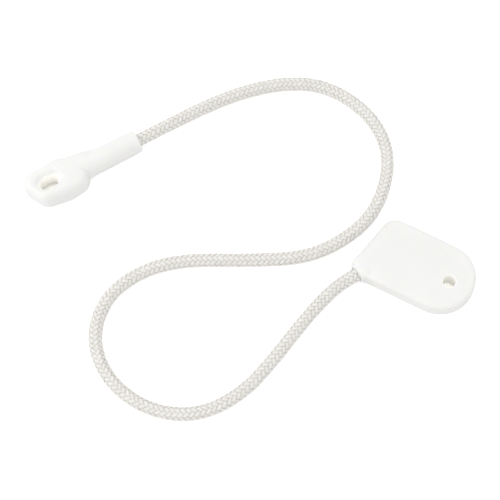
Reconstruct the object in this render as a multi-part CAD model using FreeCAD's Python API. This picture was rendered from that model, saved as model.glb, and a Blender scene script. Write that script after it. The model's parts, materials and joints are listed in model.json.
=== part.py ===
"""Door balance cord: a braided cord with a moulded anchor plate on one end and a moulded eyelet on the other.

Millimetres, +Z up. The cord lies on the plane z = 0. The origin is the centre of the anchor plate's pin hole
in the plate's underside, and +X runs along the eyelet, from its ring towards its neck.
"""
import FreeCAD, Part
import math
import os

os.makedirs("parts", exist_ok=True)

Vector = FreeCAD.Vector
up = Vector(0, 0, 1)

# ---- braided cord
cord_diameter = 4.0
core_diameter = 2.0
core_clearance = 0.03          # radial, between the core and its braided cover
root_length = 7.0              # stretch of cord beside each moulding where it flexes
tail_length = 13.0             # cord moulded into the plate and into the eyelet's neck
seal_lip = 0.2                 # the melted bead that stops each end from fraying stands out this far
seal_length = 1.6
exit_run = 8.0                 # the cord leaves the plate straight over this length

# ---- anchor plate
plate_skin = 0.7               # moulding above and below the buried cord
plate_width = 20.75
plate_axis_offset = 0.775      # the plate's centre line passes this far beside the pin hole
pin_hole_diameter = 3.6
pin_to_tip = 7.1               # pin hole to the end of the full round
mouth_from_pin = 24.5          # cord mouth, measured along the plate
mouth_inset = 0.65             # middle of the cord mouth inside the line of the plate's near side
cord_entry_angle = 62.0        # between the plate's length and the buried cord
slant_angle = 78.7             # between the plate's length and its slanted end
slant_from_mouth = 3.1         # slanted end to the middle of the cord mouth, square to the slant
slant_corner_radius = 4.0
mouth_corner_radius = 0.8
collar_length = 0.5            # round collar that stands out round the cord
collar_wall = 0.6
plate_top_rounding = 1.2
plate_bottom_rounding = 0.8
plate_heading = -58.0          # direction of the plate's length in the lying pose

# ---- eyelet
neck_length = 17.3             # neck mouth to the ring
neck_wall = 1.45               # moulding round the cord at the neck's mouth
neck_taper = 0.4               # the neck is this much thicker at the ring
neck_mouth_rounding = 0.45
ring_length = 18.7
ring_near_reach = 6.7          # from the neck's axis to the ring's fuller side
ring_far_reach = 5.7           # from the neck's axis to its other side
ring_over_neck = 0.1           # the ring's faces stand this far above and below the neck
ring_corner_radius = 3.6       # every corner of the ring's plan
ring_rounding = 1.8
fuller_belly_from_tip = 10.5   # fullest corner of the fuller side, before the far end of the ring
fuller_end_from_tip = 5.3      # corner after it, where the fuller side turns towards the far end
fuller_end_draw_in = 0.9       # that corner lies this far inside the fuller side's reach
shoulder_draw_in = 0.4         # the shoulder lies this far inside the fuller side's reach
slimmer_belly_from_tip = 11.2  # fullest corner of the slimmer side, before the far end of the ring
slimmer_end_draw_in = 0.7      # the far end's corner lies this far inside the slimmer side's reach
shoulder_step = 0.5            # the shoulder's arc starts this far beyond the neck's end
flank_start = 0.2              # the slimmer side starts to widen this far before the neck's end
flank_corner_radius = 3.0
flank_root_reach = 3.7         # from the neck's axis to the flank where it starts
flank_draw_in = 0.05           # the flank's far end stays this far inside the slimmer side's reach
eye_length = 5.4
eye_width = 2.9
eye_offset = 0.45              # the eye's centre line lies this far towards the fuller side
eye_end_wall = 4.25            # far end of the eye to the far end of the ring
eye_rim_rounding = 2.0

# ---- sizes that follow
cord_radius = cord_diameter / 2
seal_radius = cord_radius + seal_lip
plate_thickness = cord_diameter + 2 * plate_skin
plate_mid_height = plate_thickness / 2
plate_near_side = plate_axis_offset - plate_width / 2
plate_far_side = plate_axis_offset + plate_width / 2
plate_mouth_across = plate_near_side + mouth_inset
neck_mouth_radius = cord_radius + neck_wall
neck_ring_radius = neck_mouth_radius + neck_taper / 2
ring_thickness = 2 * (neck_ring_radius + ring_over_neck)
eyelet_mid_height = ring_thickness / 2
eyelet_length = neck_length + ring_length
entry_heading = plate_heading + cord_entry_angle


def heading_vector(degrees):
    """Unit vector in the lying plane."""
    angle = math.radians(degrees)
    return Vector(math.cos(angle), math.sin(angle), 0)


def placed(shape, position, heading):
    """Copy of a shape made along +X, turned to a heading and moved to a position."""
    copy = shape.copy()
    copy.rotate(Vector(0, 0, 0), up, heading)
    copy.translate(position)
    return copy


plate_mouth = (
    heading_vector(plate_heading) * -mouth_from_pin
    + heading_vector(plate_heading + 90) * plate_mouth_across
    + up * plate_mid_height
)


# ---- the cord's route

# Points from the plate's mouth, in plan, and how far the cord's middle is above its lying height.
first_bend = heading_vector(entry_heading) * -exit_run
plate_lift = plate_mid_height - cord_radius
eyelet_lift = eyelet_mid_height - cord_radius
route_from_mouth = [
    (0, 0, plate_lift),
    (first_bend.x, first_bend.y, plate_lift),
    (-19, -4, 0),
    (-34, -10.5, 0),
    (-46, -14.5, 0),
    (-59, -14, 0),
    (-70, -6.5, 0),
    (-76, 6.5, 0),
    (-74.5, 20, 0),
    (-65.5, 29.5, 0),
    (-53.5, 32, 0),
    (-40.5, 29, 0),
    (-24.5, 19.5, 0),
    (-10, 12, 0),
    (2.5, 11, 0),
    (15, 14, 0),
    (25, 22.5, 0),
    (30.5, 32.5, 0),
    (30.5, 45.5, 0),
    (24, 58.5, 0),
    (13, 65.4, 0),
    (-1, 68.8, 0),
    (-14.5, 69.4, 0.3),
    (-25.8, 68.5, eyelet_lift),
    (-33.8, 68.5, eyelet_lift),
]
route = [Vector(plate_mouth.x + x, plate_mouth.y + y, cord_radius + lift) for x, y, lift in route_from_mouth]
eyelet_mouth = route[-1]


def bend_at(before, corner, after):
    """Tangent arc at a corner: its radius is 0.45 of the shorter run over the tangent of half the turn."""
    run_in = corner - before
    run_out = after - corner
    turn = run_in.getAngle(run_out)
    cut = 0.45 * min(run_in.Length, run_out.Length)
    radius = cut / math.tan(turn / 2)
    start = corner - Vector(run_in).normalize() * cut
    end = corner + Vector(run_out).normalize() * cut
    to_centre = Vector(run_out).normalize() - Vector(run_in).normalize()
    centre = corner + to_centre.normalize() * (radius / math.cos(turn / 2))
    middle = centre - Vector(to_centre).normalize() * radius
    return start, middle, end, radius, math.degrees(turn)


def route_edges():
    """Straight runs joined by tangent arcs along the whole route."""
    edges = []
    last = route[0]
    for before, corner, after in zip(route, route[1:], route[2:]):
        start, middle, end, radius, turn = bend_at(before, corner, after)
        print(f"bend radius {radius:.1f} mm, turn {turn:.1f} degrees, run {(corner - before).Length:.1f} mm")
        edges.append(Part.LineSegment(last, start).toShape())
        edges.append(Part.Arc(start, middle, end).toShape())
        last = end
    edges.append(Part.LineSegment(last, route[-1]).toShape())
    return edges


def piece_between(edges, start, end):
    """Part of the path from one distance along it to another."""
    kept = []
    passed = 0.0
    for edge in edges:
        low = max(start - passed, 0.0)
        high = min(end - passed, edge.Length)
        if high - low > 1e-6:
            first = edge.getParameterByLength(low)
            last = edge.getParameterByLength(high)
            kept.append(edge.Curve.toShape(first, last))
        passed += edge.Length
    return Part.Wire(kept)


def disc(wire, radius):
    """Circular section square to the start of a path."""
    edge = wire.OrderedEdges[0]
    start = edge.valueAt(edge.FirstParameter)
    along = edge.tangentAt(edge.FirstParameter)
    return Part.Wire(Part.Circle(start, along, radius).toShape())


def tube(wire, radius):
    """Solid rod of one radius along a path."""
    rod = wire.makePipeShell([disc(wire, radius)], True, True)
    expected = math.pi * radius ** 2 * wire.Length
    print(f"rod of radius {radius:.2f}: volume {rod.Volume:.1f}, section times length {expected:.1f}")
    return rod


def cover_and_core(wire):
    """Braided cover and the core inside it, along one stretch of the route."""
    core = tube(wire, core_diameter / 2)
    cover = tube(wire, cord_radius).cut(tube(wire, core_diameter / 2 + core_clearance))
    return cover, core


# ---- cord ends inside the mouldings

def buried_end():
    """Cover, core and melted bead that run into a moulding along +X, from its mouth."""
    outer = Part.makeCylinder(cord_radius, tail_length, Vector(0, 0, 0), Vector(1, 0, 0))
    bore = Part.makeCylinder(core_diameter / 2 + core_clearance, tail_length, Vector(0, 0, 0), Vector(1, 0, 0))
    core = Part.makeCylinder(core_diameter / 2, tail_length, Vector(0, 0, 0), Vector(1, 0, 0))
    seal = Part.makeCylinder(seal_radius, seal_length, Vector(tail_length, 0, 0), Vector(1, 0, 0))
    return outer.cut(bore), core, seal


def cord_socket():
    """Space that the buried cord and its bead fill in a moulding, open at the mouth."""
    bore = Part.makeCylinder(cord_radius, tail_length, Vector(0, 0, 0), Vector(1, 0, 0))
    bead = Part.makeCylinder(seal_radius, seal_length, Vector(tail_length, 0, 0), Vector(1, 0, 0))
    return bore.fuse(bead)


# ---- anchor plate

def crossing(point_a, along_a, point_b, along_b):
    """Where two lines in the plan meet."""
    cross = along_a.x * along_b.y - along_a.y * along_b.x
    gap = point_b - point_a
    distance = (gap.x * along_b.y - gap.y * along_b.x) / cross
    return point_a + along_a * distance


def rounded_corner(before, corner, after, radius):
    """Ends and middle of the arc that rounds a corner of an outline."""
    into = (corner - before).normalize()
    out = (after - corner).normalize()
    turn = into.getAngle(out)
    cut = radius * math.tan(turn / 2)
    centre = corner + (out - into).normalize() * (radius / math.cos(turn / 2))
    start = corner - into * cut
    end = corner + out * cut
    middle = centre + (corner - centre).normalize() * radius
    return start, middle, end


def plate_outline():
    """Plan of the plate, with its pin hole at 0, 0 and its length along +X."""
    round_centre_x = pin_to_tip - plate_width / 2
    mouth = Vector(-mouth_from_pin, plate_mouth_across, 0)
    along_cord = heading_vector(cord_entry_angle)
    across_cord = heading_vector(cord_entry_angle - 90)
    along_slant = heading_vector(slant_angle)
    slant_point = mouth + heading_vector(slant_angle + 90) * slant_from_mouth
    cut_point = mouth + along_cord * collar_length
    side = Vector(1, 0, 0)

    top_corner = crossing(slant_point, along_slant, Vector(0, plate_far_side, 0), side)
    slant_corner = crossing(slant_point, along_slant, cut_point, across_cord)
    side_corner = crossing(cut_point, across_cord, Vector(0, plate_near_side, 0), side)
    low_end = Vector(round_centre_x, plate_near_side, 0)
    tip = Vector(pin_to_tip, plate_axis_offset, 0)
    high_end = Vector(round_centre_x, plate_far_side, 0)

    first = rounded_corner(high_end, top_corner, slant_corner, slant_corner_radius)
    second = rounded_corner(top_corner, slant_corner, side_corner, mouth_corner_radius)
    third = rounded_corner(slant_corner, side_corner, low_end, mouth_corner_radius)
    arcs = [first, second, third, (low_end, tip, high_end)]
    edges = []
    for index, arc in enumerate(arcs):
        edges.append(Part.Arc(*arc).toShape())
        following = arcs[(index + 1) % len(arcs)]
        edges.append(Part.LineSegment(arc[2], following[0]).toShape())
    return Part.Wire(edges)


def level_edges(shape, height):
    """Edges that lie flat at one height."""
    found = []
    for edge in shape.Edges:
        box = edge.BoundBox
        if abs(box.ZMin - height) < 1e-5 and abs(box.ZMax - height) < 1e-5:
            found.append(edge)
    return found


def anchor_plate():
    """Flat moulding with a full-round pin end, a slanted cord end and a short collar round the cord."""
    body = Part.Face(plate_outline()).extrude(up * plate_thickness)
    body = body.makeFillet(plate_top_rounding, level_edges(body, plate_thickness))
    body = body.makeFillet(plate_bottom_rounding, level_edges(body, 0))
    mouth = Vector(-mouth_from_pin, plate_mouth_across, plate_mid_height)
    collar_radius = cord_radius + collar_wall
    collar_reach = collar_length + collar_radius
    collar = Part.makeCylinder(collar_radius, collar_reach, mouth, heading_vector(cord_entry_angle))
    body = body.fuse(collar)
    body = body.cut(Part.makeCylinder(pin_hole_diameter / 2, plate_thickness))
    body = body.cut(placed(cord_socket(), mouth, cord_entry_angle))
    return placed(body.removeSplitter(), Vector(0, 0, 0), plate_heading)


# ---- eyelet

def hull_outline(centres, radius):
    """Outline round equal circles whose centres go clockwise."""
    normals = []
    for start, end in zip(centres, centres[1:] + centres[:1]):
        along = end - start
        normals.append(Vector(-along.y, along.x, 0).normalize())
    edges = []
    for index, normal in enumerate(normals):
        start = centres[index]
        end = centres[(index + 1) % len(centres)]
        following = normals[(index + 1) % len(centres)]
        middle = (normal + following).normalize()
        edges.append(Part.LineSegment(start + normal * radius, end + normal * radius))
        edges.append(Part.Arc(end + normal * radius, end + middle * radius, end + following * radius))
    return Part.Wire([edge.toShape() for edge in edges])


def ring_outline():
    """Plan of the ring, fuller on its +Y side."""
    radius = ring_corner_radius
    fuller = ring_near_reach - radius
    slimmer = radius - ring_far_reach
    centres = [
        Vector(neck_length + radius + shoulder_step, fuller - shoulder_draw_in, 0),
        Vector(eyelet_length - fuller_belly_from_tip, fuller, 0),
        Vector(eyelet_length - fuller_end_from_tip, fuller - fuller_end_draw_in, 0),
        Vector(eyelet_length - radius, slimmer + slimmer_end_draw_in, 0),
        Vector(eyelet_length - slimmer_belly_from_tip, slimmer, 0),
    ]
    return hull_outline(centres, radius)


def flank_outline():
    """Plan of the flank that widens the neck into the ring's slimmer side."""
    radius = flank_corner_radius
    root = radius - flank_root_reach
    end = eyelet_length - slimmer_belly_from_tip
    centres = [
        Vector(neck_length - flank_start, root, 0),
        Vector(end, root, 0),
        Vector(end, radius - ring_far_reach + flank_draw_in, 0),
    ]
    return hull_outline(centres, radius)


def eye_outline():
    """Plan of the slot-shaped eye."""
    half_width = eye_width / 2
    far_centre = eyelet_length - eye_end_wall - half_width
    near_centre = far_centre - eye_length + eye_width
    edges = [
        Part.LineSegment(Vector(near_centre, -half_width, 0), Vector(far_centre, -half_width, 0)),
        Part.Arc(
            Vector(far_centre, -half_width, 0),
            Vector(far_centre + half_width, 0, 0),
            Vector(far_centre, half_width, 0),
        ),
        Part.LineSegment(Vector(far_centre, half_width, 0), Vector(near_centre, half_width, 0)),
        Part.Arc(
            Vector(near_centre, half_width, 0),
            Vector(near_centre - half_width, 0, 0),
            Vector(near_centre, -half_width, 0),
        ),
    ]
    return Part.Wire([edge.toShape() for edge in edges])


def eye_wall(eye):
    """Least thickness of moulding between the eye and the ring's outline, in plan."""
    return ring_outline().distToShape(eye)[0]


def spring_eyelet():
    """Ring with a slot-shaped eye on a round tapered neck, its mouth at 0, 0 and its length along +X."""
    ring = Part.Face(ring_outline()).extrude(up * ring_thickness)
    ring = ring.makeFillet(ring_rounding, level_edges(ring, ring_thickness) + level_edges(ring, 0))
    eye = placed(Part.Face(eye_outline()).extrude(up * ring_thickness), Vector(0, eye_offset, 0), 0)
    ring = ring.cut(eye)
    eye_box = eye.BoundBox
    rims = [
        edge
        for edge in level_edges(ring, ring_thickness) + level_edges(ring, 0)
        if edge.BoundBox.XMin > eye_box.XMin - 1e-3
        and edge.BoundBox.XMax < eye_box.XMax + 1e-3
        and edge.BoundBox.YMin > eye_box.YMin - 1e-3
        and edge.BoundBox.YMax < eye_box.YMax + 1e-3
    ]
    thinnest_wall = eye_wall(eye)
    ring = ring.makeFillet(min(eye_rim_rounding, 0.9 * (thinnest_wall - ring_rounding)), rims)
    flank = Part.Face(flank_outline()).extrude(up * ring_thickness)
    flank = flank.makeFillet(ring_rounding, level_edges(flank, ring_thickness) + level_edges(flank, 0))
    flank = flank.cut(eye)
    neck = Part.makeCone(
        neck_mouth_radius,
        neck_ring_radius,
        neck_length + ring_corner_radius,
        Vector(0, 0, eyelet_mid_height),
        Vector(1, 0, 0),
    )
    mouth_rim = [edge for edge in neck.Edges if edge.BoundBox.XMax < 1e-5]
    neck = neck.makeFillet(neck_mouth_rounding, mouth_rim)
    body = ring.fuse([flank, neck])
    body = body.cut(placed(cord_socket(), Vector(0, 0, eyelet_mid_height), 0))
    return body.removeSplitter()


# ---- build every node

def build():
    """All nodes by name, in the lying pose."""
    edges = route_edges()
    total = sum(edge.Length for edge in edges)
    print(f"free cord from mouth to mouth: {total:.1f} mm")
    eyelet_heading = math.degrees(math.atan2(route[-1].y - route[-2].y, route[-1].x - route[-2].x))
    stretches = {
        "plate_root": (0.0, root_length),
        "cord": (root_length, total - root_length),
        "eyelet_root": (total - root_length, total),
    }
    nodes = {}
    for name, (start, end) in stretches.items():
        cover, core = cover_and_core(piece_between(edges, start, end))
        nodes[f"{name}_cover"] = cover
        nodes[f"{name}_core"] = core
    for name, mouth, heading in (
        ("plate_tail", plate_mouth, entry_heading),
        ("eyelet_tail", eyelet_mouth, eyelet_heading),
    ):
        cover, core, seal = (placed(shape, mouth, heading) for shape in buried_end())
        nodes[f"{name}_cover"] = cover
        nodes[f"{name}_core"] = core
        nodes[f"{name}_seal"] = seal
    nodes["anchor_plate"] = anchor_plate()
    base = Vector(eyelet_mouth.x, eyelet_mouth.y, 0)
    nodes["spring_eyelet"] = placed(spring_eyelet(), base, eyelet_heading)
    return nodes


for node, shape in build().items():
    solids = len(shape.Solids)
    print(f"{node}: {solids} solid, valid {shape.isValid()}, volume {shape.Volume:.1f}")
    shape.exportStep(f"parts/{node}.step")
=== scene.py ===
# Braided door cord with a moulded anchor plate on one end and a moulded spring eyelet on the other.
import json
import math
import bpy
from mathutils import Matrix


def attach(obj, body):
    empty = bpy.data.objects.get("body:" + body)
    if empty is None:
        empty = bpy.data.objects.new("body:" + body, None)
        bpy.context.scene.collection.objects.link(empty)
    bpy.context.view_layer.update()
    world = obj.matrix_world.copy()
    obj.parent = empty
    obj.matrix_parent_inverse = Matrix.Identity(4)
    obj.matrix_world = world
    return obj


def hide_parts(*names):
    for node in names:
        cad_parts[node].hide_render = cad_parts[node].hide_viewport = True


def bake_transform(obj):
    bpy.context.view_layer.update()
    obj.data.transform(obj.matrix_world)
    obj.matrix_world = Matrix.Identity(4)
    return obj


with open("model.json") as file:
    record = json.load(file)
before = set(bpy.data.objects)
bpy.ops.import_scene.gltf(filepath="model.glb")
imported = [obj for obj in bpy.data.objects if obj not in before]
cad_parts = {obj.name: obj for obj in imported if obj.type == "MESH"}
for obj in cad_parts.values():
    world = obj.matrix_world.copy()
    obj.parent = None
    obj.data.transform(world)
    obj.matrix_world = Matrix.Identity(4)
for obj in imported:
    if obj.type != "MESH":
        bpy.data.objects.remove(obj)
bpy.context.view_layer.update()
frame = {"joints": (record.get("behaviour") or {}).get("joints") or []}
import openvdb
import numpy as np
from mathutils import Vector

mm = 0.001
pivots = {joint["name"]: Vector(joint["pos_m"]) for joint in frame["joints"]}
plateMouth = pivots["plate_flex"]
eyeletMouth = pivots["eyelet_flex"]
print("frame loaded")

# camera: looking down on the lying cord
cameraSettings = {
    "azimuth": -30.0,
    "elevation": 66.0,
    "distance": 420.8 * mm,
    "lens": 105.0,
    "target": (-42.6 * mm, 38.6 * mm, 0.0),
}


def makeCamera(settings):
    azimuth = math.radians(settings["azimuth"])
    elevation = math.radians(settings["elevation"])
    level = math.cos(elevation)
    back = Vector((math.sin(azimuth) * level, -math.cos(azimuth) * level, math.sin(elevation)))
    data = bpy.data.cameras.new("camera")
    data.lens = settings["lens"]
    data.sensor_width = 36.0
    data.clip_start = 0.01
    data.clip_end = 20.0
    data.dof.use_dof = False
    camera = bpy.data.objects.new("camera", data)
    camera.location = Vector(settings["target"]) + back * settings["distance"]
    camera.rotation_mode = "QUATERNION"
    camera.rotation_quaternion = (-back).to_track_quat("-Z", "Y")
    bpy.context.scene.collection.objects.link(camera)
    bpy.context.scene.camera = camera


makeCamera(cameraSettings)
print("camera placed")

# shared shader groups


def newGroup(name, inputs, outputs):
    group = bpy.data.node_groups.new(name, "ShaderNodeTree")
    for label, kind, value in inputs:
        socket = group.interface.new_socket(name=label, in_out="INPUT", socket_type=kind)
        if value is not None:
            socket.default_value = value
    for label, kind in outputs:
        group.interface.new_socket(name=label, in_out="OUTPUT", socket_type=kind)
    return group, group.nodes.new("NodeGroupInput"), group.nodes.new("NodeGroupOutput")


def addNode(tree, kind, **values):
    node = tree.nodes.new(kind)
    for name, value in values.items():
        setattr(node, name, value)
    return node


def mathNode(tree, operation, first, second=None):
    node = addNode(tree, "ShaderNodeMath", operation=operation)
    for index, value in enumerate((first, second)):
        if isinstance(value, bpy.types.NodeSocket):
            tree.links.new(value, node.inputs[index])
        elif value is not None:
            node.inputs[index].default_value = value
    return node.outputs[0]


def noiseNode(tree, vector, scale, detail=2.0, roughness=0.5):
    node = addNode(tree, "ShaderNodeTexNoise")
    tree.links.new(vector, node.inputs["Vector"])
    node.inputs["Detail"].default_value = detail
    node.inputs["Roughness"].default_value = roughness
    if isinstance(scale, bpy.types.NodeSocket):
        tree.links.new(scale, node.inputs["Scale"])
    else:
        node.inputs["Scale"].default_value = scale
    return node.outputs["Fac"]


def spread(tree, value, low, high, outLow=0.0, outHigh=1.0):
    node = addNode(tree, "ShaderNodeMapRange")
    tree.links.new(value, node.inputs["Value"])
    node.inputs["From Min"].default_value = low
    node.inputs["From Max"].default_value = high
    node.inputs["To Min"].default_value = outLow
    node.inputs["To Max"].default_value = outHigh
    return node.outputs["Result"]


grainSettings = {
    "grainScale": 5000.0,
    "flowScale": 120.0,
    "flowSpread": (0.3, 0.7),
    "streakTurn": (0.3, 0.2, 0.9),
    "streakStretch": (1.0, 9.0, 1.0),
    "streakScale": 420.0,
    "streakSpread": (0.6, 0.72),
    "patchScale": 90.0,
    "patchSpread": (0.5, 0.7),
}


def makeGrainGroup(settings):
    # fine spark grain of the mould, soft flow marks in the plastic and faint scuffs from handling
    group, given, result = newGroup(
        "mouldGrain",
        [
            ("Vector", "NodeSocketVector", None),
            ("Grain Scale", "NodeSocketFloat", settings["grainScale"]),
            ("Flow Scale", "NodeSocketFloat", settings["flowScale"]),
        ],
        [("Grain", "NodeSocketFloat"), ("Flow", "NodeSocketFloat"), ("Scuffs", "NodeSocketFloat")],
    )
    vector = given.outputs["Vector"]
    grain = noiseNode(group, vector, given.outputs["Grain Scale"], 3.0, 0.6)
    flow = noiseNode(group, vector, given.outputs["Flow Scale"], 2.0, 0.45)
    streaks = addNode(group, "ShaderNodeMapping")
    streaks.inputs["Rotation"].default_value = settings["streakTurn"]
    streaks.inputs["Scale"].default_value = settings["streakStretch"]
    group.links.new(vector, streaks.inputs["Vector"])
    fine = noiseNode(group, streaks.outputs["Vector"], settings["streakScale"], 3.0, 0.7)
    patches = noiseNode(group, vector, settings["patchScale"], 1.0)
    streaky = spread(group, fine, *settings["streakSpread"])
    patchy = spread(group, patches, *settings["patchSpread"])
    scuffs = mathNode(group, "MULTIPLY", streaky, patchy)
    group.links.new(grain, result.inputs["Grain"])
    group.links.new(spread(group, flow, *settings["flowSpread"]), result.inputs["Flow"])
    group.links.new(scuffs, result.inputs["Scuffs"])
    return group


fibreSettings = {
    "filaments": 5.0,
    "wander": 1.5,
    "stretch": (1.0, 0.05, 1.0),
    "toneScale": 2.3,
    "toneSpread": (0.3, 0.7),
}


def makeFibreGroup(settings):
    # filaments that run along a strand; the first coordinate goes round it, the second along it in mm
    group, given, result = newGroup(
        "fibreLines",
        [
            ("Vector", "NodeSocketVector", None),
            ("Filaments", "NodeSocketFloat", settings["filaments"]),
            ("Wander", "NodeSocketFloat", settings["wander"]),
        ],
        [("Height", "NodeSocketFloat"), ("Tone", "NodeSocketFloat")],
    )
    stretched = addNode(group, "ShaderNodeMapping")
    stretched.inputs["Scale"].default_value = settings["stretch"]
    group.links.new(given.outputs["Vector"], stretched.inputs["Vector"])
    lines = addNode(group, "ShaderNodeTexWave", wave_type="BANDS", bands_direction="X")
    lines.inputs["Detail"].default_value = 2.0
    lines.inputs["Detail Scale"].default_value = 3.0
    group.links.new(stretched.outputs["Vector"], lines.inputs["Vector"])
    group.links.new(given.outputs["Filaments"], lines.inputs["Scale"])
    group.links.new(given.outputs["Wander"], lines.inputs["Distortion"])
    tone = noiseNode(group, stretched.outputs["Vector"], settings["toneScale"], 3.0, 0.6)
    group.links.new(lines.outputs["Fac"], result.inputs["Height"])
    group.links.new(spread(group, tone, *settings["toneSpread"]), result.inputs["Tone"])
    return group


wellFade = (0.8, 1.0)            # share of a well's size over which its painted glow fades out


def makeGlowGroup(fade):
    # mask of the painted glow: one inside an upright oval well, fading to none at its rim
    group, given, result = newGroup(
        "paintedGlowMask",
        [
            ("Vector", "NodeSocketVector", None),
            ("Centre", "NodeSocketVector", None),
            ("Size", "NodeSocketVector", None),
        ],
        [("Mask", "NodeSocketFloat")],
    )
    offset = addNode(group, "ShaderNodeVectorMath", operation="SUBTRACT")
    group.links.new(given.outputs["Vector"], offset.inputs[0])
    group.links.new(given.outputs["Centre"], offset.inputs[1])
    scaled = addNode(group, "ShaderNodeVectorMath", operation="DIVIDE")
    group.links.new(offset.outputs[0], scaled.inputs[0])
    group.links.new(given.outputs["Size"], scaled.inputs[1])
    flat = addNode(group, "ShaderNodeVectorMath", operation="MULTIPLY")
    flat.inputs[1].default_value = (1.0, 1.0, 0.0)
    group.links.new(scaled.outputs[0], flat.inputs[0])
    length = addNode(group, "ShaderNodeVectorMath", operation="LENGTH")
    group.links.new(flat.outputs[0], length.inputs[0])
    group.links.new(spread(group, length.outputs["Value"], *fade, 1.0, 0.0), result.inputs["Mask"])
    return group


mouldGrain = makeGrainGroup(grainSettings)
paintedGlowMask = makeGlowGroup(wellFade)
fibreLines = makeFibreGroup(fibreSettings)


def newMaterial(name):
    material = bpy.data.materials.new(name)
    material.use_nodes = True
    tree = material.node_tree
    return material, tree, tree.nodes["Principled BSDF"]


def tintBetween(tree, amount, first, second):
    node = addNode(tree, "ShaderNodeMix", data_type="RGBA")
    tree.links.new(amount, node.inputs[0])
    node.inputs[6].default_value = (*first, 1.0)
    node.inputs[7].default_value = (*second, 1.0)
    return node.outputs[2]


def bumpFrom(tree, height, strength, distance, shader):
    bump = addNode(tree, "ShaderNodeBump")
    bump.inputs["Strength"].default_value = strength
    bump.inputs["Distance"].default_value = distance
    tree.links.new(height, bump.inputs["Height"])
    tree.links.new(bump.outputs["Normal"], shader.inputs["Normal"])


mouldingLook = {
    "paleTone": (0.885, 0.885, 0.872),
    "deepTone": (0.862, 0.862, 0.845),
    "roughness": (0.33, 0.45),
    "scuffRoughness": 0.14,
    "translucency": 0.3,
    "translucentRadius": (1.0, 0.88, 0.62),
    "translucentDepth": 0.9 * mm,
    "grainStrength": 0.6,
    "grainDepth": 0.012 * mm,
    "grainScale": 4200.0,
    "flowScale": 110.0,
    "paintedGlowTone": (1.0, 0.95, 0.8),
    "paintedGlows": [                   # painted glow: emission standing in for light that has come through the plastic, in the eye and in the pin hole
        {
            "centre": eyeletMouth + Vector((-29.0, -0.45, 0.0)) * mm,
            "size": (3.9 * mm, 2.35 * mm),
            "strength": 0.17,
        },
        {
            "centre": Vector((0.0, 0.0, 0.0)),
            "size": (2.2 * mm, 2.2 * mm),
            "strength": 0.12,
        },
    ],
}
meltedLook = {
    "paleTone": (0.84, 0.82, 0.76),
    "deepTone": (0.78, 0.73, 0.63),
    "roughness": (0.22, 0.4),
    "scuffRoughness": 0.14,
    "translucency": 0.5,
    "translucentRadius": (1.0, 0.8, 0.5),
    "translucentDepth": 1.0 * mm,
    "grainStrength": 0.6,
    "grainDepth": 0.03 * mm,
    "grainScale": 1500.0,
    "flowScale": 700.0,
    "paintedGlows": [],
}


def plasticMaterial(name, look):
    material, tree, shader = newMaterial(name)
    place = addNode(tree, "ShaderNodeTexCoord")
    grain = addNode(tree, "ShaderNodeGroup", node_tree=mouldGrain)
    grain.inputs["Grain Scale"].default_value = look["grainScale"]
    grain.inputs["Flow Scale"].default_value = look["flowScale"]
    tree.links.new(place.outputs["Object"], grain.inputs["Vector"])
    colour = tintBetween(tree, grain.outputs["Flow"], look["paleTone"], look["deepTone"])
    tree.links.new(colour, shader.inputs["Base Color"])
    worn = mathNode(tree, "MULTIPLY", grain.outputs["Scuffs"], look["scuffRoughness"])
    base = spread(tree, grain.outputs["Grain"], 0.3, 0.7, *look["roughness"])
    tree.links.new(mathNode(tree, "ADD", base, worn), shader.inputs["Roughness"])
    bumpFrom(tree, grain.outputs["Grain"], look["grainStrength"], look["grainDepth"], shader)
    shader.inputs["Subsurface Weight"].default_value = look["translucency"]
    shader.inputs["Subsurface Radius"].default_value = look["translucentRadius"]
    shader.inputs["Subsurface Scale"].default_value = look["translucentDepth"]
    shader.inputs["IOR"].default_value = 1.5
    # painted glow: emission that lights up the inside of the eye and the pin hole, though they are no lamps
    glow = None
    for well in look["paintedGlows"]:
        mask = addNode(tree, "ShaderNodeGroup", node_tree=paintedGlowMask)
        mask.inputs["Centre"].default_value = well["centre"]
        mask.inputs["Size"].default_value = (*well["size"], 1.0)
        tree.links.new(place.outputs["Object"], mask.inputs["Vector"])
        part = mathNode(tree, "MULTIPLY", mask.outputs["Mask"], well["strength"])
        glow = part if glow is None else mathNode(tree, "ADD", glow, part)
    if glow is not None:
        shader.inputs["Emission Color"].default_value = (*look["paintedGlowTone"], 1.0)
        tree.links.new(glow, shader.inputs["Emission Strength"])
    return material


braidLook = {
    # the pale tone is painted light on a strand's back and the deep tone is painted shade where it dives and
    # in its furrows; both also carry the fibres' own tone
    "paleTone": (0.93, 0.92, 0.895),
    "deepTone": (0.68, 0.645, 0.575),
    "toneShare": 0.3,
    "furrowShadeShare": 0.15,
    "hollowShadeShare": 0.55,
    "roughness": 0.5,
    "toneRoughness": 0.16,
    "sheen": 0.35,
    "sheenRoughness": 0.4,
    "filaments": 4.4,
    "wander": 1.2,
    "filamentStrength": 0.7,
    "filamentDepth": 0.035 * mm,
    "translucency": 0.15,
    "translucentRadius": (1.0, 0.9, 0.75),
    "translucentDepth": 0.5 * mm,
}
coreLook = {
    # the deep tone is partly painted shade in the furrows between the filaments and partly the yarns' own
    # tone
    "paleTone": (0.83, 0.81, 0.77),
    "deepTone": (0.74, 0.71, 0.66),
    "toneShare": 0.7,
    "furrowShadeShare": 0.3,
    "hollowShadeShare": 0.0,
    "roughness": 0.6,
    "toneRoughness": 0.16,
    "sheen": 0.25,
    "sheenRoughness": 0.4,
    "filaments": 9.0,
    "wander": 1.8,
    "filamentStrength": 0.7,
    "filamentDepth": 0.05 * mm,
    "translucency": 0.1,
    "translucentRadius": (1.0, 0.9, 0.75),
    "translucentDepth": 0.4 * mm,
}


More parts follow.
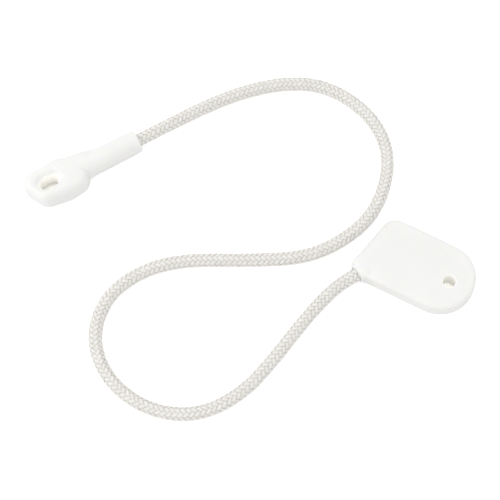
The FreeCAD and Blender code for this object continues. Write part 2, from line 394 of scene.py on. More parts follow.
def yarnMaterial(name, look):
    material, tree, shader = newMaterial(name)
    strandMap = addNode(tree, "ShaderNodeUVMap", uv_map="strandMap")
    fibres = addNode(tree, "ShaderNodeGroup", node_tree=fibreLines)
    fibres.inputs["Filaments"].default_value = look["filaments"]
    fibres.inputs["Wander"].default_value = look["wander"]
    tree.links.new(strandMap.outputs["UV"], fibres.inputs["Vector"])
    shade = mathNode(tree, "MULTIPLY", fibres.outputs["Tone"], look["toneShare"])
    # painted shade: darker in the furrows between the filaments
    furrow = mathNode(tree, "SUBTRACT", 1.0, fibres.outputs["Height"])
    furrow = mathNode(tree, "MULTIPLY", furrow, look["furrowShadeShare"])
    # painted shade where a strand dives under its neighbours, painted light on its back where it lies on top
    paintedCrestLight = addNode(tree, "ShaderNodeAttribute", attribute_name="paintedCrestLight")
    paintedHollowShade = mathNode(tree, "SUBTRACT", 1.0, paintedCrestLight.outputs["Fac"])
    paintedHollowShade = mathNode(tree, "MULTIPLY", paintedHollowShade, look["hollowShadeShare"])
    amount = mathNode(tree, "ADD", mathNode(tree, "ADD", shade, furrow), paintedHollowShade)
    tree.links.new(tintBetween(tree, amount, look["paleTone"], look["deepTone"]), shader.inputs["Base Color"])
    rough = mathNode(tree, "MULTIPLY", fibres.outputs["Tone"], look["toneRoughness"])
    rough = mathNode(tree, "ADD", rough, look["roughness"])
    tree.links.new(rough, shader.inputs["Roughness"])
    bumpFrom(tree, fibres.outputs["Height"], look["filamentStrength"], look["filamentDepth"], shader)
    shader.inputs["Sheen Weight"].default_value = look["sheen"]
    shader.inputs["Sheen Roughness"].default_value = look["sheenRoughness"]
    shader.inputs["Subsurface Weight"].default_value = look["translucency"]
    shader.inputs["Subsurface Radius"].default_value = look["translucentRadius"]
    shader.inputs["Subsurface Scale"].default_value = look["translucentDepth"]
    return material


mouldedPlastic = plasticMaterial("mouldedPlastic", mouldingLook)
meltedEnd = plasticMaterial("meltedEnd", meltedLook)
braidYarn = yarnMaterial("braidYarn", braidLook)
coreYarn = yarnMaterial("coreYarn", coreLook)
print("materials made")

# the cord's route: offsets in mm from the plate's mouth, and height above the lying cord's middle
cordSettings = {
    "diameter": 4.0 * mm,
    "buried": 13.0 * mm,
    "rootBend": 24.6 * mm,       # a length of cord beside the plate, and its heading
    "rootHeading": 175.0,
    "eyeletBend": 22.7 * mm,
    "eyeletBendLead": 1.1,       # this many times its own length, reckoned back from the eyelet
    "eyeletHeading": 155.0,
    "parting": 155.0 * mm,       # from the plate's mouth to where the two halves of the mesh meet
    "pathStride": 4,             # every so many points of the route
}
plateLift = 0.7
eyeletLift = 1.75
routeFromMouth = [
    (0, 0, plateLift),
    (-7.98, -0.56, plateLift),
    (-19, -4, 0),
    (-34, -10.5, 0),
    (-46, -14.5, 0),
    (-59, -14, 0),
    (-70, -6.5, 0),
    (-76, 6.5, 0),
    (-74.5, 20, 0),
    (-65.5, 29.5, 0),
    (-53.5, 32, 0),
    (-40.5, 29, 0),
    (-24.5, 19.5, 0),
    (-10, 12, 0),
    (2.5, 11, 0),
    (15, 14, 0),
    (25, 22.5, 0),
    (30.5, 32.5, 0),
    (30.5, 45.5, 0),
    (24, 58.5, 0),
    (13, 65.4, 0),
    (-1, 68.8, 0),
    (-14.5, 69.4, 0.3),
    (-25.8, 68.5, eyeletLift),
    (-33.8, 68.5, eyeletLift),
]


def routePoints(settings):
    lying = settings["diameter"] / 2
    points = [
        Vector((plateMouth.x + x * mm, plateMouth.y + y * mm, lying + lift * mm))
        for x, y, lift in routeFromMouth
    ]
    intoPlate = (points[0] - points[1]).normalized() * settings["buried"]
    intoEyelet = (points[-1] - points[-2]).normalized() * settings["buried"]
    return [points[0] + intoPlate, *points, points[-1] + intoEyelet]


def makeRouteCurve(points):
    data = bpy.data.curves.new("cordRoute", "CURVE")
    data.dimensions = "3D"
    data.resolution_u = 48
    spline = data.splines.new("NURBS")
    spline.points.add(len(points) - 1)
    for slot, point in zip(spline.points, points):
        slot.co = (*point, 1.0)
    spline.order_u = 3
    spline.use_endpoint_u = True
    curve = bpy.data.objects.new("cordRoute", data)
    bpy.context.scene.collection.objects.link(curve)
    return curve


def readRoute(curve, buried):
    # points on the smooth route, with its direction and the sideways direction at each
    bpy.context.view_layer.update()
    mesh = bpy.data.meshes.new_from_object(curve)
    flat = np.empty(len(mesh.vertices) * 3)
    mesh.vertices.foreach_get("co", flat)
    bpy.data.meshes.remove(mesh)
    bpy.data.objects.remove(curve)
    points = flat.reshape(-1, 3)
    keep = np.append(True, np.linalg.norm(np.diff(points, axis=0), axis=1) > 1e-7)
    points = points[keep]
    steps = np.linalg.norm(np.diff(points, axis=0), axis=1)
    distance = np.append(0.0, np.cumsum(steps)) - buried
    along = np.gradient(points, distance, axis=0)
    along /= np.linalg.norm(along, axis=1)[:, None]
    side = np.cross((0.0, 0.0, 1.0), along)
    side /= np.linalg.norm(side, axis=1)[:, None]
    over = np.cross(along, side)
    return {"distance": distance, "point": points, "along": along, "side": side, "over": over}


def between(route, name, distance):
    columns = [np.interp(distance, route["distance"], route[name][:, k]) for k in range(3)]
    return np.stack(columns, axis=-1)


def aroundRoute(route, distance, angle, radius):
    # places on a tube round the route, at a distance along it, an angle round it and a radius
    centre = between(route, "point", distance)
    side = between(route, "side", distance) * (radius * np.cos(angle))[..., None]
    over = between(route, "over", distance) * (radius * np.sin(angle))[..., None]
    return centre + side + over


route = readRoute(makeRouteCurve(routePoints(cordSettings)), cordSettings["buried"])
freeLength = route["distance"][-1] - cordSettings["buried"]
print(f"route read: {freeLength / mm:.1f} mm of free cord")

# the braided cover: strands that go over two and under two
braidSettings = {
    "strandsEachWay": 8,
    "lay": 12.1 * mm,            # one turn of a strand
    "middleRadius": 1.47 * mm,
    "rise": 0.28 * mm,
    "strandWidth": 1.12 * mm,
    "strandThickness": 0.5 * mm,
    "step": 0.26 * mm,
    "sectionPoints": 8,
    "sectionPower": 0.85,        # below one, the strand's section is squarer than an oval
    "slopeLift": 0.2 * mm,       # the strands' slope is that of this much outside their middle radius
    "widthKnots": 8,             # rings between two knots of the uneven width, and of the uneven rise
    "riseKnots": 6,
    "unevenWidth": 0.05,
    "unevenRise": 0.02 * mm,
    "endGap": 0.5 * mm,          # bare core between the strands' ends and the melted bead
    "seed": 11,
}


def partingPlace(index, wayRound, settings):
    # where a strand dives under its neighbours, nearest to the place where the halves meet
    crossings = 2.5 - 2 * index if wayRound > 0 else 2 * index - 0.5
    pitch = settings["lay"] / (2 * settings["strandsEachWay"])
    turns = round((cordSettings["parting"] / pitch - crossings) / 4)
    return (crossings + 4 * turns) * pitch


def strandRise(distance, index, wayRound, settings):
    # one wave in four crossings, two over and two under; the two ways round are half a wave apart
    phase = 2 * settings["strandsEachWay"] * distance / settings["lay"]
    lean = phase + 2 * index - 0.5 if wayRound > 0 else 2 * index - phase - 2.5
    return settings["rise"] * np.sin(math.pi / 2 * np.cos(math.pi / 2 * lean))


def gentleNoise(rng, count, steps):
    # a smooth random value along a strand, from knots spread evenly over it
    knots = rng.normal(0.0, 1.0, max(4, int(count / steps)))
    return np.interp(np.linspace(0, len(knots) - 1, count), np.arange(len(knots)), knots)


def strandSurface(index, wayRound, start, end, settings, rng):
    count = int(round((end - start) / settings["step"])) + 1
    distance = np.linspace(start, end, count)
    lay = settings["lay"]
    turn = wayRound * 2 * math.pi * distance / lay + 2 * math.pi * index / settings["strandsEachWay"]
    rise = strandRise(distance, index, wayRound, settings)
    rise = rise + settings["unevenRise"] * gentleNoise(rng, count, settings["riseKnots"])
    uneven = settings["unevenWidth"] * gentleNoise(rng, count, settings["widthKnots"])
    width = settings["strandWidth"] * (1 + uneven)
    corners = np.arange(settings["sectionPoints"]) * 2 * math.pi / settings["sectionPoints"]
    across = np.sign(np.cos(corners)) * np.abs(np.cos(corners)) ** settings["sectionPower"]
    height = np.sin(corners) * 0.5 * settings["strandThickness"]
    middle = settings["middleRadius"] + rise
    slope = math.atan2(2 * math.pi * (settings["middleRadius"] + settings["slopeLift"]), lay)
    offset = 0.5 * width[:, None] * across[None, :]
    places = distance[:, None] - wayRound * offset * math.sin(slope)
    angles = turn[:, None] + offset * math.cos(slope) / middle[:, None]
    radii = middle[:, None] + height[None, :]
    # painted light and shade: full on a strand's outer back where it lies on top, none at its edges and where
    # it dives under its neighbours
    lifted = 0.5 + 0.5 * rise / settings["rise"]
    paintedCrestLight = np.clip(lifted, 0, 1)[:, None] * np.clip(np.sin(corners), 0, 1)[None, :]
    return distance, places, angles, radii, paintedCrestLight


def gridFaces(rings, around, first):
    # quads between neighbouring rings of points
    ring = np.arange(rings - 1)[:, None] * around
    step = np.arange(around)[None, :]
    following = (step + 1) % around
    beyond = ring + around
    quads = np.stack([ring + step, ring + following, beyond + following, beyond + step], axis=-1)
    return quads.reshape(-1, 4) + first


def addPaintedCrestLight(mesh, values):
    # painted light and shade: one, the pale tone, along a strand's back where it lies on top; none, the deep
    # tone, at its edges and where it dives
    paintedCrestLight = mesh.attributes.new(name="paintedCrestLight", type="FLOAT", domain="POINT")
    paintedCrestLight.data.foreach_set("value", values.astype(np.float32))


def addStrandMap(mesh, values):
    uv = mesh.uv_layers.new(name="strandMap")
    corners = np.empty(len(mesh.loops), dtype=np.int32)
    mesh.loops.foreach_get("vertex_index", corners)
    uv.data.foreach_set("uv", values[corners].astype(np.float32).ravel())


def meshPiece(name, points, faces, material):
    mesh = bpy.data.meshes.new(name)
    mesh.from_pydata(points, [], faces)
    mesh.polygons.foreach_set("use_smooth", [True] * len(mesh.polygons))
    mesh.materials.append(material)
    mesh.update()
    piece = bpy.data.objects.new(name, mesh)
    bpy.context.scene.collection.objects.link(piece)
    return piece


def makeBraid(name, start, end, settings):
    # one half of the cover; a start or end of None is the parting place of each strand
    rng = np.random.default_rng(settings["seed"] + (0 if end is None else 1))
    points = []
    faces = []
    coordinates = []
    paintedCrestLights = []
    first = 0
    for wayRound in (1, -1):
        for index in range(settings["strandsEachWay"]):
            parting = partingPlace(index, wayRound, settings)
            low = parting if start is None else start
            high = parting if end is None else end
            distance, places, angles, radii, paintedCrestLight = strandSurface(index, wayRound, low, high, settings, rng)
            paintedCrestLights.append(paintedCrestLight.reshape(-1))
            surface = aroundRoute(route, places, angles, radii)
            rings, around = places.shape
            points.append(surface.reshape(-1, 3))
            quads = gridFaces(rings, around, first)
            faces.extend(quads.tolist())
            lastRing = first + (rings - 1) * around
            faces.append([first + k for k in reversed(range(around))])
            faces.append([lastRing + k for k in range(around)])
            strand = index + (0 if wayRound > 0 else settings["strandsEachWay"])
            roundIt = strand + np.broadcast_to(np.arange(around) / around, places.shape)
            alongIt = np.broadcast_to(distance[:, None] / mm, places.shape)
            coordinates.append(np.stack([roundIt, alongIt], axis=-1).reshape(-1, 2))
            first += rings * around
    piece = meshPiece(name, np.concatenate(points), faces, braidYarn)
    addStrandMap(piece.data, np.concatenate(coordinates))
    addPaintedCrestLight(piece.data, np.concatenate(paintedCrestLights))
    return piece


coreSettings = {
    "radius": 0.92 * mm,
    "yarns": 9,
    "yarnDepth": 0.05 * mm,
    "lay": 55.0 * mm,
    "step": 0.7 * mm,
    "around": 36,
}


def makeCore(name, start, end, settings):
    # straight laid yarns, close together, with a slow twist
    count = int(round((end - start) / settings["step"])) + 1
    distance = np.linspace(start, end, count)
    angles = np.arange(settings["around"]) * 2 * math.pi / settings["around"]
    twist = 2 * math.pi * distance / settings["lay"]
    furrow = np.abs(np.sin(0.5 * settings["yarns"] * (angles[None, :] - twist[:, None])))
    radii = settings["radius"] - settings["yarnDepth"] * (1 - furrow)
    places = np.broadcast_to(distance[:, None], radii.shape)
    surface = aroundRoute(route, places, np.broadcast_to(angles[None, :], radii.shape), radii)
    around = settings["around"]
    faces = gridFaces(count, around, 0).tolist()
    faces.append(list(reversed(range(around))))
    faces.append([(count - 1) * around + k for k in range(around)])
    piece = meshPiece(name, surface.reshape(-1, 3), faces, coreYarn)
    roundIt = np.broadcast_to(angles[None, :] / (2 * math.pi), radii.shape)
    alongIt = np.broadcast_to(distance[:, None] / mm, radii.shape)
    addStrandMap(piece.data, np.stack([roundIt, alongIt], axis=-1).reshape(-1, 2))
    return piece


def headingStep(degrees, length):
    angle = math.radians(degrees)
    return Vector((math.cos(angle), math.sin(angle), 0.0)) * length


def makeCord(settings):
    buried = settings["buried"]
    low = -buried + braidSettings["endGap"]
    high = freeLength + buried - braidSettings["endGap"]
    plateHalf = makeBraid("braided_cover_plate_half", low, None, braidSettings)
    eyeletHalf = makeBraid("braided_cover_eyelet_half", None, high, braidSettings)
    plateCore = makeCore("cord_core_plate_half", -buried, settings["parting"], coreSettings)
    eyeletCore = makeCore("cord_core_eyelet_half", settings["parting"], freeLength + buried, coreSettings)
    for piece in (plateHalf, plateCore):
        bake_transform(piece)
    for piece in (eyeletHalf, eyeletCore):
        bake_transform(piece)
    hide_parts("plate_tail_cover", "plate_root_cover", "cord_cover")
    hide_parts("eyelet_tail_cover", "eyelet_root_cover")
    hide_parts("plate_tail_core", "plate_root_core", "cord_core")
    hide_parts("eyelet_tail_core", "eyelet_root_core")


makeCord(cordSettings)
print("cord made")

# mouldings: each is one smooth solid from its distance field, in mm


def smoothMin(a, b, width):
    overlap = np.maximum(width - np.abs(a - b), 0.0) / width
    return np.minimum(a, b) - overlap * overlap * width * 0.25


def smoothMax(a, b, width):
    return -smoothMin(-a, -b, width)


def easedStep(value, low, high):
    share = np.clip((value - low) / (high - low), 0.0, 1.0)
    return share * share * (3 - 2 * share)


def roundedMeet(a, b, radius):
    # two surfaces that meet in a rounded edge
    a = a + radius
    b = b + radius
    return np.hypot(np.maximum(a, 0), np.maximum(b, 0)) + np.minimum(np.maximum(a, b), 0) - radius


def unitVector(degrees):
    return np.array([math.cos(math.radians(degrees)), math.sin(math.radians(degrees))])


def crossing(pointA, alongA, pointB, alongB):
    gap = pointB - pointA
    cross = alongA[0] * alongB[1] - alongA[1] * alongB[0]
    return pointA + alongA * ((gap[0] * alongB[1] - gap[1] * alongB[0]) / cross)


def roundedWedge(x, y, corner, alongA, alongB, radius):
    # distance to a wedge between two directions from its corner, with the corner rounded
    sine = abs(alongA[0] * alongB[1] - alongA[1] * alongB[0])
    inner = corner + (alongA + alongB) * (radius / sine)
    normals = []
    for along, other in ((alongA, alongB), (alongB, alongA)):
        normal = np.array([along[1], -along[0]])
        normals.append(normal if normal @ other < 0 else -normal)
    dx = x - inner[0]
    dy = y - inner[1]
    flat = np.maximum(dx * normals[0][0] + dy * normals[0][1], dx * normals[1][0] + dy * normals[1][1])
    beyond = (dx * alongA[0] + dy * alongA[1] < 0) & (dx * alongB[0] + dy * alongB[1] < 0)
    return np.where(beyond, np.hypot(dx, dy), flat) - radius


socketSettings = {
    "cordRadius": 2.0,
    "beadRadius": 2.2,
    "beadHalfLength": 0.8,
    "tail": 13.0,
}


def socketField(inward, across, settings):
    # space of the buried cord and its melted bead
    half = settings["beadHalfLength"]
    bore = np.maximum(across - settings["cordRadius"], inward - settings["tail"])
    bead = np.maximum(across - settings["beadRadius"], np.abs(inward - settings["tail"] - half) - half)
    return np.minimum(bore, bead)


surfacingSettings = {
    "band": 4,                   # grid steps kept on each side of the surface
    "probe": 0.02,               # reach for the slope, in mm
    "passes": 4,
    "leastSteepness": 0.05,
    "greatestMove": 0.5,         # in grid steps
}


def solidFromField(name, field, low, high, step, place, settings=surfacingSettings):
    # quads from a grid of distances, then each point is moved onto the exact surface
    axes = [np.arange(a, b, step) for a, b in zip(low, high)]
    values = field(*np.meshgrid(*axes, indexing="ij"))
    band = settings["band"] * step
    grid = openvdb.FloatGrid(band)
    grid.copyFromArray(np.clip(values, -band, band).astype(np.float32))
    points, quads = grid.convertToQuads(isovalue=0.0)
    points = points * step + np.array(low)
    probe = settings["probe"]
    furthest = settings["greatestMove"] * step
    for _ in range(settings["passes"]):
        x, y, z = points.T
        value = field(x, y, z)
        gradient = np.stack(
            [
                field(x + probe, y, z) - field(x - probe, y, z),
                field(x, y + probe, z) - field(x, y - probe, z),
                field(x, y, z + probe) - field(x, y, z - probe),
            ],
            axis=-1,
        ) / (2 * probe)
        steepness = np.maximum((gradient ** 2).sum(axis=1), settings["leastSteepness"])
        move = np.clip(value / steepness, -furthest, furthest)
        points = points - gradient * move[:, None]
    a, b, c, d = (points[quads[:, k]] for k in range(4))
    volume = (np.cross(c - a, d - b) * (a + b + c + d)).sum()
    if volume < 0:
        quads = quads[:, ::-1]
    piece = meshPiece(name, place(points) * mm, quads.tolist(), mouldedPlastic)
    print(f"{name}: {len(quads)} quads")
    return piece


def turnedTo(heading, originX, originY):
    # from a moulding's own axes to the frame, in mm
    ahead = unitVector(heading)

    def place(points):
        x = originX + points[:, 0] * ahead[0] - points[:, 1] * ahead[1]
        y = originY + points[:, 0] * ahead[1] + points[:, 1] * ahead[0]
        return np.stack([x, y, points[:, 2]], axis=-1)

    return place


plateSettings = {
    "heading": -58.0,
    "thickness": 5.4,
    "nearSide": -9.6,            # its pin hole is at 0, 0 and its length runs along +X
    "farSide": 11.15,
    "tip": 7.1,
    "pinHoleRadius": 1.8,
    "pinRim": 0.3,
    "mouth": (-24.5, -9.2),
    "cordAngle": 62.0,
    "slantAngle": 78.7,
    "slantFromMouth": 3.1,
    "slantCornerRadius": 4.0,
    "mouthCornerRadius": 0.8,
    "collarLength": 0.5,
    "collarRadius": 2.55,
    "collarRounding": 0.4,
    "collarBlend": 0.8,
    "stepPlace": (2.6, -2.9),    # a small step beside the mouth, along and across the cord
    "stepLength": 1.1,
    "stepWidth": 0.9,
    "stepDepth": 0.35,
    "stepFade": (0.5, 2.0),
    "topRounding": 1.2,
    "slantRounding": 2.4,
    "bottomRounding": 0.9,
    "slantBulge": 0.6,
    "slantSpan": 19.0,
    "bulgeFade": (6.0, 14.0),    # from the pin hole towards the slanted end
    "slantTurn": (-5.0, 2.0),    # from the far side's rounding to the slanted end's
    "slantFade": (-8.0, -5.0),
    "slantMouthFade": (2.0, 7.0),
    "partingRidge": 0.04,
    "ridgeWidth": 0.12,
    "ridgeFade": (-0.6, -0.2),
    "ejectorMarks": [(-15.0, 5.5), (-3.0, 6.5), (-12.5, -6.0)],
    "ejectorRadius": 1.5,
    "ejectorDepth": 0.1,
    "ejectorBlend": 0.08,
    "socketBlend": 0.12,
    "step": 0.155,
    "gridSlack": (3.5, 1.5),     # beyond the mouth and beyond the near side
}


def plateField(x, y, z):
    s = plateSettings
    middle = s["thickness"] / 2
    mouth = np.array(s["mouth"])
    alongCord = unitVector(s["cordAngle"])
    alongSlant = unitVector(s["slantAngle"])
    outOfSlant = unitVector(s["slantAngle"] + 90)
    alongCut = unitVector(s["cordAngle"] - 90)
    ahead = np.array([1.0, 0.0])
    slantPoint = mouth + outOfSlant * s["slantFromMouth"]
    cutPoint = mouth + alongCord * s["collarLength"]
    topCorner = crossing(slantPoint, alongSlant, np.array([0.0, s["farSide"]]), ahead)
    slantCorner = crossing(slantPoint, alongSlant, cutPoint, alongCut)
    sideCorner = crossing(cutPoint, alongCut, np.array([0.0, s["nearSide"]]), ahead)
    tipRadius = (s["farSide"] - s["nearSide"]) / 2
    tipMiddle = (s["farSide"] + s["nearSide"]) / 2
    side = np.hypot(np.maximum(x - s["tip"] + tipRadius, 0), y - tipMiddle) - tipRadius
    alongEdge = (x - slantPoint[0]) * alongSlant[0] + (y - slantPoint[1]) * alongSlant[1]
    bulge = s["slantBulge"] * np.sin(np.clip(alongEdge / s["slantSpan"], 0, 1) * math.pi)
    wedge = roundedWedge(x, y, topCorner, ahead, -alongSlant, s["slantCornerRadius"])
    nearSlant = easedStep(-x, *s["bulgeFade"])
    side = np.maximum(side, wedge - bulge * nearSlant)
    side = np.maximum(side, roundedWedge(x, y, slantCorner, alongSlant, alongCut, s["mouthCornerRadius"]))
    side = np.maximum(side, roundedWedge(x, y, sideCorner, -alongCut, ahead, s["mouthCornerRadius"]))

    # the top edge is rounder along the slanted end than round the rest
    fromSlant = (x - slantPoint[0]) * outOfSlant[0] + (y - slantPoint[1]) * outOfSlant[1]
    fromFar = y - s["farSide"]
    onSlant = easedStep(fromSlant - fromFar, *s["slantTurn"]) * easedStep(fromSlant, *s["slantFade"])
    onSlant = onSlant * easedStep(alongEdge, *s["slantMouthFade"])
    topRounding = s["topRounding"] + (s["slantRounding"] - s["topRounding"]) * onSlant
    ridge = s["partingRidge"] * np.exp(-((z - middle) / s["ridgeWidth"]) ** 2)
    ridge = ridge * easedStep(side, *s["ridgeFade"])
    top = roundedMeet(side - ridge, z - s["thickness"], topRounding)
    body = np.maximum(top, roundedMeet(side - ridge, -z, s["bottomRounding"]))

    # collar round the cord, the buried cord's socket and the pin hole
    dx = x - mouth[0]
    dy = y - mouth[1]
    inward = dx * alongCord[0] + dy * alongCord[1]
    sideways = dx * -alongCord[1] + dy * alongCord[0]
    across = np.hypot(sideways, z - middle)
    collar = roundedMeet(across - s["collarRadius"], -inward, s["collarRounding"])
    collar = np.maximum(collar, inward - s["collarLength"] - s["collarRadius"])
    body = smoothMin(body, collar, s["collarBlend"])
    stepAlong = (inward - s["stepPlace"][0]) / s["stepLength"]
    stepAcross = (sideways - s["stepPlace"][1]) / s["stepWidth"]
    body = body + s["stepDepth"] * np.exp(-stepAlong ** 2 - stepAcross ** 2) * easedStep(z, *s["stepFade"])
    for markX, markY in s["ejectorMarks"]:
        mark = np.hypot(x - markX, y - markY) - s["ejectorRadius"]
        body = smoothMax(body, -np.maximum(mark, z - s["ejectorDepth"]), s["ejectorBlend"])
    body = smoothMax(body, s["pinHoleRadius"] - np.hypot(x, y), s["pinRim"])
    return smoothMax(body, -socketField(inward, across, socketSettings), s["socketBlend"])


eyeletSettings = {
    "heading": 180.0,
    "middle": 3.75,
    "neckMouthRadius": 3.45,
    "neckRingRadius": 3.65,
    "neckLength": 17.3,
    "neckRounding": 0.45,
    "ringHalfThickness": 3.75,
    "ringCorner": 3.6,           # the ring's plan is a hull of circles of this radius
    "ringNear": [(21.4, 2.7), (25.5, 3.1), (30.7, 2.2)],
    "ringFar": [(32.4, -1.4), (24.8, -2.1)],
    "flankRoot": (17.1, -0.7),   # the far side runs out to the ring from here
    "flankEnd": (24.8, -2.65),
    "flankCorner": 3.0,
    "ringRounding": 2.3,
    "nearBlend": 0.5,            # how softly the ring runs into the neck on each side
    "farBlend": 3.2,
    "blendTurn": (-1.5, 2.5),    # from the near side to the far side
    "faceBlend": 0.2,            # how softly it does so near the ring's faces
    "faceFade": (-3.2, -1.6),
    "flankBlend": 0.4,
    "eyeStart": (27.8, 0.45),
    "eyeEnd": (30.3, 0.45),
    "eyeHalfWidth": 1.45,
    "eyeRim": 3.0,
    "tipReach": 35.9,
    "partingRidge": 0.04,
    "ridgeWidth": 0.11,
    "gatePlace": -0.8,
    "gateRadius": 0.7,
    "gateHeight": 0.12,
    "gateBlend": 0.15,
    "socketBlend": 0.15,
    "step": 0.135,
    "gridSlack": (2.1, 3.7),     # beyond the corner radius, on the far side and on the near side
}


def hullDistance(x, y, corners, radius):
    # distance to a convex hull of equal circles whose centres go clockwise
    inside = None
    outside = None
    for start, end in zip(corners, corners[1:] + corners[:1]):
        alongX = end[0] - start[0]
        alongY = end[1] - start[1]
        length = math.hypot(alongX, alongY)
        dx = x - start[0]
        dy = y - start[1]
        share = np.clip((dx * alongX + dy * alongY) / length ** 2, 0, 1)
        gap = np.hypot(dx - alongX * share, dy - alongY * share)
        flat = (dy * alongX - dx * alongY) / length
        inside = flat if inside is None else np.maximum(inside, flat)
        outside = gap if outside is None else np.minimum(outside, gap)
    return np.where(inside > 0, outside, -outside) - radius


def eyeletField(x, y, z):
    s = eyeletSettings
    height = z - s["middle"]
    ringCorners = s["ringNear"] + s["ringFar"]
    flankCorners = [s["flankRoot"], (s["flankEnd"][0], s["flankRoot"][1]), s["flankEnd"]]
    thick = np.abs(height) - s["ringHalfThickness"]
    ring = roundedMeet(hullDistance(x, y, ringCorners, s["ringCorner"]), thick, s["ringRounding"])
    flank = roundedMeet(hullDistance(x, y, flankCorners, s["flankCorner"]), thick, s["ringRounding"])
    across = np.hypot(y, height)
    taper = (s["neckRingRadius"] - s["neckMouthRadius"]) / s["neckLength"]
    neck = roundedMeet(across - s["neckMouthRadius"] - taper * x, -x, s["neckRounding"])
    neck = np.maximum(neck, x - s["neckLength"] - s["ringCorner"])
    blendWidth = s["nearBlend"] + (s["farBlend"] - s["nearBlend"]) * easedStep(-y, *s["blendTurn"])
    awayFromFaces = easedStep(-np.abs(height), *s["faceFade"])
    blendWidth = s["faceBlend"] + (blendWidth - s["faceBlend"]) * awayFromFaces
    body = smoothMin(ring, flank, s["flankBlend"])
    body = smoothMin(body, neck, blendWidth)
    body = body - s["partingRidge"] * np.exp(-(height / s["ridgeWidth"]) ** 2)
    gate = np.hypot(y - s["gatePlace"], height) - s["gateRadius"]
    gate = np.maximum(gate, np.abs(x - s["tipReach"]) - s["gateHeight"])
    body = smoothMin(body, gate, s["gateBlend"])
    alongEye = np.clip(x, s["eyeStart"][0], s["eyeEnd"][0])
    eye = np.hypot(x - alongEye, y - s["eyeStart"][1]) - s["eyeHalfWidth"]
    body = smoothMax(body, -eye, s["eyeRim"])
    return smoothMax(body, -socketField(x, across, socketSettings), s["socketBlend"])


def makeMouldings():
    s = plateSettings
    margin = 0.6
    platePlace = turnedTo(s["heading"], 0.0, 0.0)
    plate = solidFromField(
        "anchor_plate_moulding",
        plateField,
        (s["mouth"][0] - s["gridSlack"][0], s["nearSide"] - s["gridSlack"][1], -margin),
        (s["tip"] + margin, s["farSide"] + margin, s["thickness"] + margin),
        s["step"],
        platePlace,
    )
    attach(plate, "plate_end")
    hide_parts("anchor_plate")
    s = eyeletSettings
    eyeletPlace = turnedTo(s["heading"], eyeletMouth.x / mm, eyeletMouth.y / mm)
    eyelet = solidFromField(
        "spring_eyelet_moulding",
        eyeletField,
        (-margin, -s["ringCorner"] - s["gridSlack"][0] - margin, -margin),
        (s["tipReach"] + margin, s["ringCorner"] + s["gridSlack"][1] + margin, 2 * s["middle"] + margin),
        s["step"],
        eyeletPlace,
    )
    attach(eyelet, "eyelet_end")
    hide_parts("spring_eyelet")


makeMouldings()
print("mouldings made")

# the melted beads that stop the cord's two ends from fraying, inside the mouldings
beadSettings = {
    "radius": 2.12 * mm,
    "length": 1.5 * mm,
    "unevenness": 0.06,
    "gap": 0.05 * mm,            # between the cord's end and the bead
    "profilePowers": (3.5, 0.4),
    "shrink": 0.04,
    "lumpShare": 0.25,
    "lumpTurns": (20, 9),        # how the lumps run round the bead and along it
    "greatest": 1.02,            # no lump stands out further than this share of the radius
    "rings": 20,
    "around": 40,
    "seed": 5,
}


def makeBead(name, start, direction, body, node, settings):
    rng = np.random.default_rng(settings["seed"] + len(name))
    lumps = rng.normal(0.0, settings["unevenness"], (5, 3))
    angles = np.arange(settings["around"]) * 2 * math.pi / settings["around"]
    side = Vector((0, 0, 1)).cross(direction).normalized()
    over = direction.cross(side)
    firstPower, secondPower = settings["profilePowers"]
    roundTurns, alongTurns = settings["lumpTurns"]
    points = [tuple(start)]
    for ring in range(1, settings["rings"]):
        share = ring / settings["rings"]
        profile = (1 - abs(2 * share - 1) ** firstPower) ** secondPower
        for angle in angles:
            wobble = sum(
                a * math.sin((k + 1) * angle + b * roundTurns + c * alongTurns * share)
                for k, (a, b, c) in enumerate(lumps)
            )
            radius = settings["radius"] * profile * (1 - settings["shrink"] + settings["lumpShare"] * wobble)
            radius = min(radius, settings["radius"] * settings["greatest"])
            along = direction * (settings["length"] * share)
            sideways = side * (radius * math.cos(angle))
            upward = over * (radius * math.sin(angle))
            points.append(tuple(start + along + sideways + upward))
    points.append(tuple(start + direction * settings["length"]))
    around = settings["around"]
    faces = gridFaces(settings["rings"] - 1, around, 1).tolist()
    last = len(points) - 1
    for k in range(around):
        following = (k + 1) % around
        faces.append([0, 1 + following, 1 + k])
        faces.append([last, last - around + k, last - around + following])
    piece = meshPiece(name, points, faces, meltedEnd)
    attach(piece, body)
    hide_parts(node)


def makeBeads(settings):
    reach = cordSettings["buried"] + settings["gap"]
    inPlate = (Vector(route["point"][0]) - plateMouth).normalized()
    inEyelet = (Vector(route["point"][-1]) - eyeletMouth).normalized()
    plateStart = plateMouth + inPlate * reach
    eyeletStart = eyeletMouth + inEyelet * reach
    makeBead("melted_bead_plate", plateStart, inPlate, "plate_end", "plate_tail_seal", settings)
    makeBead("melted_bead_eyelet", eyeletStart, inEyelet, "eyelet_end", "eyelet_tail_seal", settings)


makeBeads(beadSettings)
print("beads made")

# floor, light and colour
stageSettings = {
    "floorSize": 6.0,
    "floorDrop": 0.05 * mm,
    "floorTone": (0.93, 0.93, 0.93),
    "floorRoughness": 0.8,
    "floorShine": 0.1,
    "floorBrightness": (0.95, 0.65),   # two coats of white, so that the floor burns out to white
    "skyTop": 1.06,
    "skyHorizon": 0.735,
    "keyHeading": 155.0,
    "keyElevation": 42.0,
    "keyDistance": 0.9,
    "keySize": 0.6,
    "keyPower": 1.5,
}


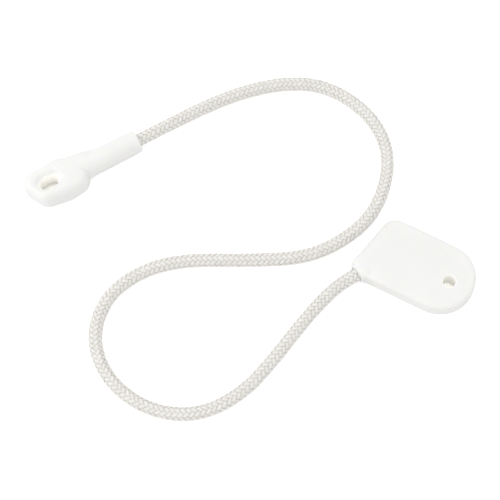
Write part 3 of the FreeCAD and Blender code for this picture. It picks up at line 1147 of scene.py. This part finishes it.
def makeFloor(settings):
    half = settings["floorSize"] / 2
    drop = -settings["floorDrop"]
    mesh = bpy.data.meshes.new("floor")
    corners = [(-half, -half, drop), (half, -half, drop), (half, half, drop), (-half, half, drop)]
    mesh.from_pydata(corners, [], [(0, 1, 2, 3)])
    material, tree, shader = newMaterial("paleFloor")
    shader.inputs["Base Color"].default_value = (*settings["floorTone"], 1.0)
    shader.inputs["Roughness"].default_value = settings["floorRoughness"]
    shader.inputs["Specular IOR Level"].default_value = settings["floorShine"]
    coats = addNode(tree, "ShaderNodeAddShader")
    for index, value in enumerate(settings["floorBrightness"]):
        coat = addNode(tree, "ShaderNodeBsdfDiffuse")
        coat.inputs["Color"].default_value = (value, value, value, 1.0)
        tree.links.new(coat.outputs["BSDF"], coats.inputs[index])
    seen = addNode(tree, "ShaderNodeLightPath")
    mixed = addNode(tree, "ShaderNodeMixShader")
    tree.links.new(seen.outputs["Is Camera Ray"], mixed.inputs["Fac"])
    tree.links.new(shader.outputs["BSDF"], mixed.inputs[1])
    tree.links.new(coats.outputs["Shader"], mixed.inputs[2])
    tree.links.new(mixed.outputs["Shader"], tree.nodes["Material Output"].inputs["Surface"])
    mesh.materials.append(material)
    floor = bpy.data.objects.new("floor", mesh)
    bpy.context.scene.collection.objects.link(floor)


def makeKeyLight(settings):
    elevation = math.radians(settings["keyElevation"])
    distance = settings["keyDistance"]
    level = headingStep(settings["keyHeading"], distance * math.cos(elevation))
    away = level + Vector((0, 0, distance * math.sin(elevation)))
    data = bpy.data.lights.new("key", "AREA")
    data.shape = "DISK"
    data.size = settings["keySize"]
    data.energy = settings["keyPower"]
    light = bpy.data.objects.new("key", data)
    light.location = Vector(cameraSettings["target"]) + away
    light.rotation_mode = "QUATERNION"
    light.rotation_quaternion = (-away).to_track_quat("-Z", "Y")
    bpy.context.scene.collection.objects.link(light)


def makeSky(settings):
    world = bpy.data.worlds.new("studio")
    world.use_nodes = True
    tree = world.node_tree
    background = tree.nodes["Background"]
    background.inputs["Color"].default_value = (1.0, 1.0, 1.0, 1.0)
    direction = addNode(tree, "ShaderNodeTexCoord")
    height = addNode(tree, "ShaderNodeSeparateXYZ")
    tree.links.new(direction.outputs["Generated"], height.inputs["Vector"])
    strength = spread(tree, height.outputs["Z"], 0.0, 1.0, settings["skyHorizon"], settings["skyTop"])
    tree.links.new(strength, background.inputs["Strength"])
    bpy.context.scene.world = world


makeFloor(stageSettings)
makeKeyLight(stageSettings)
makeSky(stageSettings)
bpy.context.scene.view_settings.view_transform = "Standard"
print("stage made")
